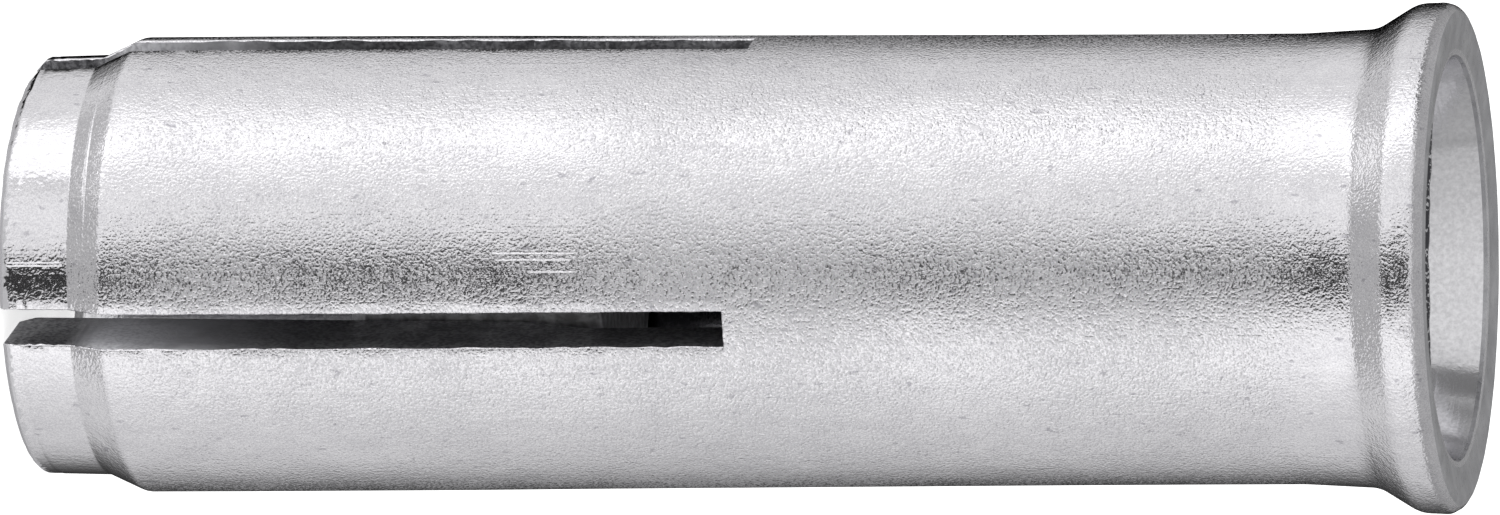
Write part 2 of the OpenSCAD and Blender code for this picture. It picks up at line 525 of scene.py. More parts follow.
# How far round the mouth the painted shade at its edge reaches, either way from its middle, and how far down
# the bore
EDGE_SHADE_REACH = 0.62
EDGE_SHADE_DEPTH = 0.13


def quads(index):
    """Four-sided faces over a grid of vertex numbers."""
    corners = (index[:-1, :-1], index[:-1, 1:], index[1:, 1:], index[1:, :-1])
    return np.stack([corner.ravel() for corner in corners], 1)


def face_kinds(rows, root_row, low):
    """The kind of each row of faces: outside, the mouth's edge painted with shade, bore, or turned face."""
    row = np.arange(len(rows))
    mid = (rows + np.roll(rows, -1, 0)) / 2
    r, z = mid[:, 0], mid[:, 1]
    flat = np.abs(loop_normals(mid)[:, 1]) > FLAT_NORMAL
    top_row = int(np.argmin(np.hypot(rows[:root_row, 0] - MOUTH_R, rows[:root_row, 1] - MOUTH_Z)))
    on_face = (row < top_row) & (z > MOUTH_Z - ROW_GAP)
    kind = np.full(len(rows), OUTSIDE_FACE)
    kind[flat & (z > MOUTH_Z - ROW_GAP)] = TURNED_FACE
    kind[on_face & (r < MOUTH_R + BEAD_TOP)] = OUTSIDE_FACE
    # Painted shade: the bead's foot takes the dark edge material
    kind[on_face & (r > MOUTH_R + BEAD_TOP - ROW_GAP) & (r < MOUTH_R + BEAD_FOOT)] = EDGE_SHADE_FACE
    kind[top_row:root_row + low - 1] = BORE_FACE
    # Painted shade just inside the mouth's edge
    kind[(row >= top_row) & (z > MOUTH_Z - EDGE_SHADE_DEPTH) & (r < MOUTH_R)] = EDGE_SHADE_FACE
    kind[root_row + low - 1:root_row + low + WALL_COLUMNS] = TURNED_FACE
    return kind


def slot_faces(index, points, root_row, low, per_quarter):
    """Added points and faces of the slots' walls and roots, each a grid from the bore to the outside."""
    n_rows = len(index)
    inner_rows = root_row + np.arange(low)
    outer_rows = (n_rows - np.arange(low)) % n_rows
    end_rows = root_row + low + np.arange(WALL_COLUMNS)
    share = (np.arange(1, WALL_COLUMNS + 1) / (WALL_COLUMNS + 1))[None, :, None]
    added, walls = [], []
    count = index.size

    def steps_between(inner, outer):
        """Numbers of new points in even steps from each inner point to its outer one."""
        nonlocal count
        between = points[inner][:, None] * (1 - share) + points[outer][:, None] * share
        added.append(between.reshape(-1, 3))
        numbers = np.arange(len(inner) * WALL_COLUMNS).reshape(-1, WALL_COLUMNS) + count
        count += numbers.size
        return numbers

    def add_wall(inner, middle, outer):
        """Faces of a grid from the bore to the outside."""
        walls.append(quads(np.concatenate([inner[:, None], middle, outer[:, None]], 1)))

    for slot in range(SLOT_N):
        columns = slot * per_quarter + np.arange(SLOT_COLUMNS)
        inner, outer = index[root_row, columns], index[0, columns]
        root = steps_between(inner, outer)
        add_wall(inner, root, outer)
        for side in (0, -1):
            column = columns[side]
            inner, outer = index[inner_rows, column], index[outer_rows, column]
            body = steps_between(inner[1:-1], outer[1:-1])
            middle = np.concatenate([root[side][None, :], body, index[end_rows, column][None, :]])
            add_wall(inner, middle, outer)
    return added, walls


def sleeve_mesh():
    """The whole sleeve as one closed grid: the loop of the wall section times the columns, left open at the
    slots below their roots, where flat slot walls and roots join the outside to the bore."""
    rows, root_row, low = sleeve_rows()
    quarter, offset, share, per_quarter = sleeve_columns()
    grid = sleeve_points(rows, quarter, offset, share)
    points = grid.reshape(-1, 3)
    index = np.arange(len(points)).reshape(grid.shape[:2])
    wrapped = np.concatenate([index, index[:1]])
    wrapped = np.concatenate([wrapped, wrapped[:, :1]], 1)
    faces = quads(wrapped)
    row_of, column_of = np.divmod(np.arange(len(faces)), index.shape[1])
    in_slot = (column_of % per_quarter) < SLOT_COLUMNS - 1
    keep = ~((row_of >= root_row) & in_slot)
    faces = faces[keep]
    kinds = face_kinds(rows, root_row, low)[row_of[keep]]
    # The painted shade at the mouth's edge stays only on the side towards the camera; elsewhere those faces
    # are turned face
    corner = points[faces[:, 0]]
    off = turn_from(np.arctan2(corner[:, 1], corner[:, 0]), BEAD_ANGLE)
    kinds[(kinds == EDGE_SHADE_FACE) & (np.abs(off) > EDGE_SHADE_REACH)] = TURNED_FACE
    added, walls = slot_faces(index, points, root_row, low, per_quarter)
    vertices = np.concatenate([points] + added)
    walls = np.concatenate(walls)
    kinds = np.concatenate([kinds, np.full(len(walls), CUT_FACE)])
    used, packed = np.unique(np.concatenate([faces, walls]), return_inverse=True)
    return vertices[used], packed.reshape(-1, 4), kinds


def revolved(path):
    """A closed surface of revolution through an open path from axis to axis, with one point at each pole."""
    columns = PLUG_COLUMNS
    theta = np.arange(columns) * 2 * math.pi / columns
    ring = path[1:-1]
    height = np.broadcast_to(ring[:, 1:], (len(ring), columns))
    grid = np.stack([ring[:, :1] * np.cos(theta), ring[:, :1] * np.sin(theta), height], 2)
    index = np.arange(len(ring) * columns).reshape(len(ring), columns)
    faces = [list(face) for face in quads(np.concatenate([index, index[:, :1]], 1))]
    foot, top = index.size, index.size + 1
    faces += [[foot, int(index[0, (j + 1) % columns]), int(index[0, j])] for j in range(columns)]
    faces += [[top, int(index[-1, j]), int(index[-1, (j + 1) % columns])] for j in range(columns)]
    poles = np.array([[0, 0, path[0, 1]], [0, 0, path[-1, 1]]])
    return np.concatenate([grid.reshape(-1, 3), poles]), faces


def turn_outwards(mesh):
    """Turns all faces of a closed mesh outwards."""
    work = bmesh.new()
    work.from_mesh(mesh)
    bmesh.ops.recalc_face_normals(work, faces=work.faces)
    work.to_mesh(mesh)
    work.free()


def link(name, data):
    """A new object of that name and data, in the scene at the origin."""
    thing = bpy.data.objects.new(name, data)
    bpy.context.scene.collection.objects.link(thing)
    return thing


def mesh_object(name, vertices, faces, materials, kinds=None):
    """Makes an object at the origin from points in millimetres, with its faces turned outwards and its real
    corners kept sharp."""
    mesh = bpy.data.meshes.new(name)
    mesh.from_pydata((vertices * MM).tolist(), [], [[int(v) for v in face] for face in faces])
    for material in materials:
        mesh.materials.append(material)
    if kinds is not None:
        mesh.polygons.foreach_set("material_index", kinds.astype(np.int32))
    mesh.polygons.foreach_set("use_smooth", np.ones(len(mesh.polygons), bool))
    mesh.update()
    mesh.validate()
    turn_outwards(mesh)
    mesh.set_sharp_from_angle(angle=SHARP_ANGLE)
    return link(name, mesh)


# Material nodes

# The middle of a noise's values, and the span about it where nearly all of them lie
NOISE_MEAN = 0.5
NOISE_SPAN = (0.3, 0.7)
UNIT = (0.0, 1.0)
EVEN = (1, 1, 1)
HERE = (0, 0, 0)
# Places of a Mix node's share and its two colours among its inputs, and of the mix among its outputs
MIX_INPUTS = (0, 6, 7)
MIX_OUTPUT = 2


def feed(tree, node, inputs):
    """Gives a node's inputs their values: links from other nodes' outputs, or else constants."""
    for name, value in inputs.items():
        if isinstance(value, bpy.types.NodeSocket):
            tree.links.new(value, node.inputs[name])
        else:
            node.inputs[name].default_value = value


def add_node(tree, kind, inputs, **settings):
    """A node of that kind with those inputs and settings."""
    node = tree.nodes.new(kind)
    for key, value in settings.items():
        setattr(node, key, value)
    feed(tree, node, inputs)
    return node


def new_material(name):
    """A material with its node tree and its Principled shader."""
    material = bpy.data.materials.new(name)
    material.use_nodes = True
    return material, material.node_tree, material.node_tree.nodes["Principled BSDF"]


def object_point(tree):
    """The Object coordinates."""
    return add_node(tree, "ShaderNodeTexCoord", {}).outputs["Object"]


def axes(tree):
    """The Object coordinates' X, Y and Z."""
    return add_node(tree, "ShaderNodeSeparateXYZ", {"Vector": object_point(tree)}).outputs


def noise(tree, point, scale, detail, roughness, stretch, offset):
    """Noise of one size of grain, stretched and moved by a Mapping node. Scale is grains a metre."""
    place = add_node(tree, "ShaderNodeMapping", {"Vector": point, "Scale": stretch, "Location": offset})
    inputs = {"Vector": place.outputs["Vector"], "Scale": scale, "Detail": detail, "Roughness": roughness}
    return add_node(tree, "ShaderNodeTexNoise", inputs).outputs["Fac"]


def noises(tree, *table):
    """A noise for each row of scale, detail, roughness, stretch and offset."""
    point = object_point(tree)
    return [noise(tree, point, *row) for row in table]


def map_range(tree, value, span, result=UNIT):
    """A value's place in one span, as the same place in the result's span, which it doesn't leave."""
    inputs = dict(zip(("Value", "From Min", "From Max", "To Min", "To Max"), (value, *span, *result)))
    return add_node(tree, "ShaderNodeMapRange", inputs).outputs["Result"]


def height_range(tree, height, span, result=UNIT):
    """The same for a height or a distance, with its span in millimetres."""
    return map_range(tree, height, (span[0] * MM, span[1] * MM), result)


def maths(tree, operation, a, b=0.0):
    """One Math node of up to two values."""
    return add_node(tree, "ShaderNodeMath", {0: a, 1: b}, operation=operation).outputs["Value"]


def add(tree, a, b):
    """Sum of two values."""
    return maths(tree, "ADD", a, b)


def times(tree, a, b):
    """Product of two values."""
    return maths(tree, "MULTIPLY", a, b)


def less(tree, a, b):
    """The first value less the second."""
    return maths(tree, "SUBTRACT", a, b)


def ramp(tree, z, places, levels):
    """Grey level by height: straight lines between places in millimetres, by a Color Ramp over their span."""
    node = add_node(tree, "ShaderNodeValToRGB", {"Fac": height_range(tree, z, (places[0], places[-1]))})
    stops = node.color_ramp.elements
    while len(stops) < len(places):
        stops.new(0.5)
    for stop, place, level in zip(stops, places, levels):
        stop.position = (place - places[0]) / (places[-1] - places[0])
        stop.color = (level, level, level, 1)
    return node.outputs["Color"]


def bump(tree, height, distance, normal=None):
    """Normal bent by a height share times a distance in millimetres, over an earlier bump where given."""
    inputs = {"Strength": 1.0, "Distance": distance * MM, "Height": height}
    if normal is not None:
        inputs["Normal"] = normal
    return add_node(tree, "ShaderNodeBump", inputs).outputs["Normal"]


def mix_colour(tree, share, first, second):
    """Mix of two colours, all the second one where the share is 1."""
    inputs = dict(zip(MIX_INPUTS, (share, first, second)))
    return add_node(tree, "ShaderNodeMix", inputs, data_type="RGBA").outputs[MIX_OUTPUT]


# Outside plating, with each noise as its scale, detail, roughness, stretch and offset

GRAIN_NOISE = (14000, 1.0, 0.4, EVEN, HERE)
DUST_NOISE = (21000, 0.0, 0.5, EVEN, (7, 7, 2))
RIPPLE_NOISE = (5200, 1.0, 0.5, EVEN, (3, 3, 9))
LINE_NOISE = (9000, 2.0, 0.5, (1, 1, 0.03), HERE)
DRAWN_NOISE = (15000, 0.0, 0.5, (1, 1, 0.012), (8, 1, 4))
SPECK_NOISE = (6000, 0.0, 0.4, (1, 1, 0.5), (11, 5, 2))
MOTTLE_NOISE = (1500, 3.0, 0.65, (1, 1, 0.6), (1, 9, 4))
PATCH_NOISE = (260, 2.0, 0.5, (1, 1, 0.7), (6, 2, 3))
# How much of the drawn body is frosted, at heights along it in millimetres, and how that varies in patches
FROST_Z = (0, 2.5, 3.1, 5, 9, 12.5, 14, 16, 18.5, 23, 26, 33, 35.5, 37.2, 40)
FROST = (0.17, 0.17, 0.36, 0.41, 0.43, 0.44, 0.40, 0.43, 0.52, 0.50, 0.42, 0.42, 0.38, 0.24, 0.32)
FROST_PATCH = (-0.07, 0.07)
FROST_SPAN = (0.40, 0.55)
FROST_ROUGH = 0.42
# Roughness of the polished share between the frosted grains, at heights along the body
POLISH_Z = (0, 2.4, 3.2, 12, 20, 34, 37.5, 40)
POLISH = (0.10, 0.12, 0.13, 0.14, 0.15, 0.14, 0.12, 0.13)
# How strongly the drawn lines show, at heights along the body
DRAWN_Z = (0, 1.9, 2.3, 12, 13, 15.8, 17, 40)
DRAWN = (0.04, 0.04, 0.05, 0.05, 0.2, 0.2, 0.05, 0.1)
DRAWN_SPAN = (0.60, 0.72)
# Fine scratches run along the front, each at a distance across from its middle, between two heights
SCRATCHES = (
    (0.06, 0.2, 1.85),
    (-0.03, 0.2, 1.85),
    (0.25, 14.0, 16.4),
    (0.07, 14.1, 16.3),
    (-0.26, 15.0, 16.4),
)
SCRATCH_W = 0.024
SCRATCH_END = 0.1
# Depths of the bumps, and the ripple's share in the grain's
GRAIN_BUMP = 0.050
RIPPLE_SHARE = 0.2
LINE_BUMP = 0.003
DRAWN_BUMP = 0.010
SCRATCH_BUMP = 0.011
# Colour, and how far specks, mottling and dust take it from bright to dull
BRIGHT_ZINC = (0.935, 0.925, 0.95, 1)
DULL_ZINC = (0.52, 0.51, 0.55, 1)
SPECK_SPAN = (0.77, 0.82)
SPECK_TONE = (0.0, 0.5)
MOTTLE_TONE = (0.0, 0.20)
DUST_SPAN = (0.35, 0.65)
DUST_TONE = (0.34, 0.0)
# The torn edge below a frayed line near the nose end
TORN_ZINC = (0.80, 0.795, 0.82, 1)
TORN_SPAN = (0.26, 0.18)
TORN_FRAY = (-0.09 * MM, 0.09 * MM)
TORN_ROUGH = 0.6


def scratches(tree, split):
    """Height share of the fine scratches: a ridge where the distance across is a scratch's own, between its
    two heights and on the front only."""
    x, y, z = split["X"], split["Y"], split["Z"]
    across = less(tree, times(tree, x, math.sin(FRONT_ANGLE)), times(tree, y, math.cos(FRONT_ANGLE)))
    ahead = add(tree, times(tree, x, math.cos(FRONT_ANGLE)), times(tree, y, math.sin(FRONT_ANGLE)))
    height = 0.0
    for place, foot, top in SCRATCHES:
        off = maths(tree, "ABSOLUTE", less(tree, across, place * MM))
        ridge = height_range(tree, off, (0, SCRATCH_W), (1.0, 0.0))
        for span in ((foot, foot + SCRATCH_END), (top, top - SCRATCH_END)):
            ridge = times(tree, ridge, height_range(tree, z, span))
        height = add(tree, ridge, height)
    return times(tree, height, height_range(tree, ahead, (0, 1)))


def zinc_plating():
    """Bright zinc: polished between frosted grains about 0.07 mm across, which cover more of the surface in
    some places than in others, over a soft ripple, with faint lines along the axis, a few scratches, mottling
    and sparse specks. The nose's torn edge is duller."""
    material, tree, shader = new_material("zinc_plating")
    split = axes(tree)
    z = split["Z"]
    grain, dust, ripple, lines = noises(tree, GRAIN_NOISE, DUST_NOISE, RIPPLE_NOISE, LINE_NOISE)
    specks, mottle, patches, drawn = noises(tree, SPECK_NOISE, MOTTLE_NOISE, PATCH_NOISE, DRAWN_NOISE)
    cover = add(tree, ramp(tree, z, FROST_Z, FROST), map_range(tree, patches, NOISE_SPAN, FROST_PATCH))
    frosted = map_range(tree, add(tree, less(tree, cover, NOISE_MEAN), grain), FROST_SPAN)
    polish = ramp(tree, z, POLISH_Z, POLISH)
    rough = add(tree, polish, times(tree, frosted, less(tree, FROST_ROUGH, polish)))
    frayed = add(tree, z, map_range(tree, ripple, NOISE_SPAN, TORN_FRAY))
    torn = height_range(tree, frayed, TORN_SPAN)
    rough = maths(tree, "MAXIMUM", rough, times(tree, torn, TORN_ROUGH))

    tone = map_range(tree, specks, SPECK_SPAN, SPECK_TONE)
    tone = add(tree, tone, map_range(tree, mottle, NOISE_SPAN, MOTTLE_TONE))
    tone = add(tree, tone, map_range(tree, dust, DUST_SPAN, DUST_TONE))
    colour = mix_colour(tree, torn, mix_colour(tree, tone, BRIGHT_ZINC, DULL_ZINC), TORN_ZINC)

    sandy = add(tree, times(tree, grain, cover), times(tree, ripple, RIPPLE_SHARE))
    normal = bump(tree, lines, LINE_BUMP, bump(tree, sandy, GRAIN_BUMP))
    drawn = times(tree, map_range(tree, drawn, DRAWN_SPAN), ramp(tree, z, DRAWN_Z, DRAWN))
    normal = bump(tree, drawn, DRAWN_BUMP, normal)
    normal = bump(tree, scratches(tree, split), SCRATCH_BUMP, normal)
    feed(tree, shader, {"Base Color": colour, "Roughness": rough, "Normal": normal, "Metallic": 1.0})
    return material


# Slot walls

SAW_NOISE = (5200, 2.0, 0.6, (1, 1, 0.12), HERE)
STAIN_NOISE = (900, 3.0, 0.6, EVEN, (2, 2, 5))
GRIT_NOISE = (9000, 1.0, 0.5, EVEN, (5, 2, 8))
PAINTED_LIGHT_STEEL = (0.85, 0.85, 0.88, 1)
DARK_STEEL = (0.15, 0.148, 0.16, 1)
# A painted reflection: a lighter patch that starts at the step, fades along the leg, and is broken up by grit
PAINTED_LIGHT_START = (1.7, 2.6)
PAINTED_LIGHT_END = (8.5, 2.9)
PAINTED_LIGHT_FADE = 1.4
PAINTED_LIGHT_GRIT_SPAN = (0.35, 0.62)
PAINTED_LIGHT_GRIT = (0.45, 1.0)
STAIN_TONE = (0.75, 1.0)
GRIT_SPAN = (0.35, 0.65)
GRIT_TONE = (-0.18, 0.12)
SAWN_ROUGH = (0.42, 0.55)
SAWN_BUMP = 0.010
SAWN_METALLIC_SPAN = (0.0, 0.75)
SAWN_METALLIC = (0.85, 0.1)


def sawn_steel():
    """Slot walls: dull dark plating over saw marks that run down the slot, with a painted reflection that
    makes them lighter beside the step.
    """
    material, tree, shader = new_material("sawn_steel")
    z = axes(tree)["Z"]
    marks, stain, grit = noises(tree, SAW_NOISE, STAIN_NOISE, GRIT_NOISE)
    # Painted reflection: the walls are lighter and less metallic beside the step
    fade = maths(tree, "POWER", height_range(tree, z, PAINTED_LIGHT_END), PAINTED_LIGHT_FADE)
    painted_light = times(tree, height_range(tree, z, PAINTED_LIGHT_START), fade)
    painted_light = times(tree, painted_light, map_range(tree, grit, PAINTED_LIGHT_GRIT_SPAN, PAINTED_LIGHT_GRIT))
    dark = less(tree, map_range(tree, stain, NOISE_SPAN, STAIN_TONE), painted_light)
    dark = add(tree, dark, map_range(tree, grit, GRIT_SPAN, GRIT_TONE))
    feed(tree, shader, {
        "Base Color": mix_colour(tree, dark, PAINTED_LIGHT_STEEL, DARK_STEEL),
        "Roughness": map_range(tree, stain, NOISE_SPAN, SAWN_ROUGH),
        "Normal": bump(tree, add(tree, marks, grit), SAWN_BUMP),
        "Metallic": map_range(tree, painted_light, SAWN_METALLIC_SPAN, SAWN_METALLIC),
    })
    return material


# Bore

RING_NOISE = (6000, 2.0, 0.5, (0.06, 0.06, 1), HERE)
BORE_NOISE = (8000, 2.0, 0.6, EVEN, (4, 4, 1))
BORE_ZINC = (0.93, 0.925, 0.95, 1)
BORE_SHADE = (0.10, 0.10, 0.11, 1)
# Painted shade: the bore darkens below the thread and is lighter again towards the open nose
BORE_SHADE_DEEP = (20.8, 17.5)
BORE_SHADE_NOSE = (9.6, 8.4)
BORE_SHADE_NOSE_TONE = (0.0, 0.6)
BORE_SHADE_TONE = 0.9
BORE_GRAIN_TONE = (0.0, 0.2)
BORE_ROUGH = (0.11, 0.18)
BORE_BUMP = 0.003


def bore_steel():
    """Bore and thread: thin plating with fine rings from the cut, and painted shade that darkens it below the
    thread.
    """
    material, tree, shader = new_material("bore_steel")
    z = axes(tree)["Z"]
    rings, grain = noises(tree, RING_NOISE, BORE_NOISE)
    # Painted shade deep in the bore, lifted again near the nose
    painted_shade = less(tree, height_range(tree, z, BORE_SHADE_DEEP), height_range(tree, z, BORE_SHADE_NOSE, BORE_SHADE_NOSE_TONE))
    tone = add(tree, times(tree, painted_shade, BORE_SHADE_TONE), map_range(tree, grain, NOISE_SPAN, BORE_GRAIN_TONE))
    feed(tree, shader, {
        "Base Color": mix_colour(tree, tone, BORE_ZINC, BORE_SHADE),
        "Roughness": map_range(tree, grain, NOISE_SPAN, BORE_ROUGH),
        "Normal": bump(tree, grain, BORE_BUMP, bump(tree, rings, BORE_BUMP)),
        "Metallic": 1.0,
    })
    return material


# Mouth face and leg ends

FACE_NOISE = (6500, 2.0, 0.5, EVEN, (7, 3, 1))
FACE_WIDE_NOISE = (1100, 2.0, 0.5, EVEN, (5, 8, 2))
FACE_LIGHT = (0.68, 0.68, 0.70, 1)
FACE_DARK = (0.42, 0.42, 0.44, 1)
PIT_SPAN = (0.30, 0.52)
PIT_TONE = (0.25, 0.0)
FACE_TONE = (0.0, 0.75)
FACE_ROUGH = (0.26, 0.42)
FACE_BUMP = 0.014


def turned_face():
    """Mouth face and leg ends: flat faces with small pits and the greyer plating of a pressed surface."""
    material, tree, shader = new_material("turned_face")
    grain, wide = noises(tree, FACE_NOISE, FACE_WIDE_NOISE)
    tone = add(tree, map_range(tree, wide, NOISE_SPAN, FACE_TONE), map_range(tree, grain, PIT_SPAN, PIT_TONE))
    feed(tree, shader, {
        "Base Color": mix_colour(tree, tone, FACE_LIGHT, FACE_DARK),
        "Roughness": map_range(tree, grain, NOISE_SPAN, FACE_ROUGH),
        "Normal": bump(tree, grain, FACE_BUMP),
        "Metallic": 1.0,
    })
    return material


# Painted shade at the mouth's edge

EDGE_NOISE = (9000, 1.0, 0.5, EVEN, (3, 8, 6))
EDGE_SHADE = (0.10, 0.10, 0.11, 1)
EDGE_LIGHT = (0.85, 0.85, 0.87, 1)
EDGE_SPAN = (0.56, 0.64)
EDGE_ROUGH = 0.4
EDGE_BUMP = 0.012


def torn_steel():
    """The foot of the mouth's bead and the mouth's edge on the side towards the camera, painted dark as the
    bead's shade, with bright grains.
    """
    material, tree, shader = new_material("torn_steel")
    grain = noises(tree, EDGE_NOISE)[0]
    feed(tree, shader, {
        "Base Color": mix_colour(tree, map_range(tree, grain, EDGE_SPAN), EDGE_SHADE, EDGE_LIGHT),
        "Roughness": EDGE_ROUGH,
        "Normal": bump(tree, grain, EDGE_BUMP),
        "Metallic": 1.0,
    })
    return material


# Plug

PLUG_GRAIN_NOISE = (5000, 3.0, 0.6, EVEN, (9, 1, 1))
PLUG_LINE_NOISE = (7000, 2.0, 0.5, (1, 1, 0.08), HERE)
PLUG_FLAKE_NOISE = (2600, 2.0, 0.6, EVEN, (2, 7, 1))
PLUG_DARK = (0.45, 0.445, 0.46, 1)
PLUG_LIGHT = (0.86, 0.855, 0.88, 1)
PLUG_TONE_SPAN = (0.8, 1.25)
PLUG_ROUGH = (0.35, 0.5)
PLUG_METALLIC = 0.7
PLUG_GRAIN_BUMP = 0.012
PLUG_LINE_BUMP = 0.005


def plug_steel():
    """The plug: cold formed steel with a dull grey plating."""
    material, tree, shader = new_material("plug_steel")
    grain, lines, flakes = noises(tree, PLUG_GRAIN_NOISE, PLUG_LINE_NOISE, PLUG_FLAKE_NOISE)
    tone = map_range(tree, add(tree, grain, flakes), PLUG_TONE_SPAN)
    feed(tree, shader, {
        "Base Color": mix_colour(tree, tone, PLUG_DARK, PLUG_LIGHT),
        "Roughness": map_range(tree, grain, NOISE_SPAN, PLUG_ROUGH),
        "Normal": bump(tree, lines, PLUG_LINE_BUMP, bump(tree, grain, PLUG_GRAIN_BUMP)),
        "Metallic": PLUG_METALLIC,
    })
    return material


# Pieces

sleeve_vertices, sleeve_quads, sleeve_kinds = sleeve_mesh()
sleeve_materials = [zinc_plating(), sawn_steel(), bore_steel(), turned_face(), torn_steel()]
sleeve = mesh_object("slotted_sleeve", sleeve_vertices, sleeve_quads, sleeve_materials, sleeve_kinds)
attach(sleeve, "sleeve")
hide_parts("sleeve")


def plug_path():
    """The plug's half section: chamfered leading edge, flank parallel to the expansion bore, rounded struck
    edge and a shallow dimple left by the setting tool's centre."""
    def flank_r(z):
        """Radius of the flank: the expansion bore's less the gap."""
        return taper_r(z) - PLUG_GAP

    return outline([
        (0, PLUG_FOOT_Z, 0),
        (flank_r(PLUG_FOOT_Z) - PLUG_CHAMFER, PLUG_FOOT_Z, PLUG_FOOT_ROUND),
        (flank_r(PLUG_FOOT_Z + PLUG_CHAMFER), PLUG_FOOT_Z + PLUG_CHAMFER, PLUG_FLANK_ROUND),
        (flank_r(PLUG_TOP_Z), PLUG_TOP_Z, PLUG_ROUND),
        (DIMPLE_R, PLUG_TOP_Z, DIMPLE_ROUND),
        (DIMPLE_FLOOR_R, PLUG_TOP_Z - DIMPLE_SIDE_DEPTH, DIMPLE_ROUND),
        (0, PLUG_TOP_Z - DIMPLE_DEPTH, 0),
    ])


plug_points, plug_faces = revolved(resample(plug_path(), lambda z: ROW_STEP_PLUG))
plug = mesh_object("expander_wedge", plug_points, plug_faces, [plug_steel()])
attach(plug, "plug")
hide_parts("expander_plug")

# Camera: a long lens that looks at the front from a little above, with the part lying along the picture

CAMERA_TILT = math.radians(11.08)
CAMERA_ROLL = math.radians(-0.275)
CAMERA_DISTANCE = 500 * MM
CAMERA_CLIP = (0.01, 20)
PIXELS_A_MM = 36.074
PICTURE_W = 1500
PICTURE_SHIFT = (-0.98, 4.02)
SENSOR = 36.0

centre = Vector((0, 0, SLEEVE_L / 2 * MM))
outward = Vector((math.cos(FRONT_ANGLE), math.sin(FRONT_ANGLE), 0))
back = (outward * math.cos(CAMERA_TILT) + Vector((0, 0, math.sin(CAMERA_TILT)))).normalized()
right = (Vector((0, 0, math.cos(CAMERA_TILT))) - outward * math.sin(CAMERA_TILT)).normalized()
up = back.cross(right)
camera_x = right * math.cos(CAMERA_ROLL) + up * math.sin(CAMERA_ROLL)
camera_y = up * math.cos(CAMERA_ROLL) - right * math.sin(CAMERA_ROLL)
camera_data = bpy.data.cameras.new("camera")
camera_data.sensor_width = SENSOR
camera_data.lens = PIXELS_A_MM * CAMERA_DISTANCE / MM * SENSOR / PICTURE_W
camera_data.shift_x = -PICTURE_SHIFT[0] / PICTURE_W
camera_data.shift_y = PICTURE_SHIFT[1] / PICTURE_W
camera_data.clip_start, camera_data.clip_end = CAMERA_CLIP
camera = link("camera", camera_data)
turned = Matrix((camera_x, camera_y, back)).transposed().to_4x4()
camera.matrix_world = Matrix.Translation(centre + back * CAMERA_DISTANCE) @ turned
bpy.context.scene.camera = camera

# Floor and surroundings

FLOOR_HALF = 3.0
FLOOR_GREY = (0.82, 0.82, 0.82, 1)
FLOOR_ROUGH = 0.9
FLOOR_GLOW = 0.7
WORLD_LEVEL = 0.85
WHITE = (1, 1, 1, 1)

# Brightness of the studio round the part, by degrees from the camera towards the picture's foot: softboxes
# above and below the camera, which stands in a dark gap between them, and dim walls behind the part
WALL_TURN = (-180, -160, -148, -140, -130, -122, -108, -90, -84, -80, -52, -47, -43, -39, -30, -18, -8, -6,
             14, 16, 26, 36, 44, 52, 62, 72, 84, 100, 118, 130, 142, 155, 180)
WALL_LEVEL = (0.0, 0.0, 0.10, 0.33, 0.69, 0.78, 0.80, 0.84, 0.92, 1.32, 1.32, 0.74, 0.72, 0.92, 0.94, 0.88,
              0.78, 0.04, 0.04, 0.78, 0.82, 0.98, 1.10, 1.08, 0.96, 0.86, 0.74, 0.70, 0.64, 0.53, 0.25, 0.08,
              0.0)
STRIP_TURN = (-180, -150, -110, -102, -97, -90, -86, -70, -66, -52, -34, 0, 27, 37, 66, 72, 77, 100, 130, 180)
STRIP_LEVEL = (0.30, 0.33, 0.33, 0.24, 0.24, 0.40, 0.18, 0.18, 0.64, 0.74, 0.76, 0.73, 0.64, 0.59, 0.52, 0.34,
               0.42, 0.38, 0.33, 0.30)
PIT_TURN = (-180, -150, -130, -112, -95, -72, -62, 95, 112, 150, 180)
PIT_LEVEL = (0.10, 0.20, 0.60, 0.95, 1.15, 1.15, 0.50, 0.42, 0.60, 0.40, 0.10)
ZENITH_LEVEL = 0.42
NADIR_LEVEL = 0.48
# Over which degrees above the level the wall gives way to the strip, and the strip to the zenith, and over
# which degrees below it the wall gives way to the pit, and the pit to the nadir
STRIP_RISE = (1, 4)
ZENITH_RISE = (16, 26)
PIT_FALL = (52, 57)
NADIR_FALL = (70, 78)
# The gap lies nearer to the picture's foot for what looks down a little, less so away from the front
GAP_SHIFT = 6
GAP_FALL = (12, 13.5)
GAP_TURN = (0, 20)
GAP_REACH = 40
# A dim edge runs aslant between the upper softbox and the pit
EDGE_LEVEL = 0.55
EDGE_SLANT = 0.27
EDGE_MID_TURN = -90
EDGE_NEAR = (40, 44)
EDGE_FAR = (54, 57)
EDGE_START_TURN = (-122, -116)
EDGE_END_TURN = (-60, -50)
# The studio's sphere, with its rows closest about the level and below it
STUDIO_RADIUS = 0.9
STUDIO_TURNS = np.arange(-180, 180, 2.0)
STUDIO_RISES = np.concatenate([np.linspace(-88, -41, 40), np.arange(-40, 30, 1.0), np.linspace(32, 88, 15)])

# Soft lamps: degrees from the camera, degrees above the level, size and distance in metres, and radiance
LAMPS = (
    ("upper_lamp", -65, 30, 0.5, 0.8, 1.2),
    ("lower_lamp", 55, 30, 0.5, 0.8, 0.9),
    ("front_lamp", 17, 5, 0.35, 0.8, 1.5),
)


def white_to_camera(tree, strength_lit, strength_seen):
    """A value that is strength_seen for camera, glossy and transmission rays, and strength_lit for others."""
    ray = add_node(tree, "ShaderNodeLightPath", {}).outputs
    seen = maths(tree, "MAXIMUM", ray["Is Camera Ray"], ray["Is Glossy Ray"])
    seen = maths(tree, "MAXIMUM", seen, ray["Is Transmission Ray"])
    return map_range(tree, seen, UNIT, (strength_lit, strength_seen))


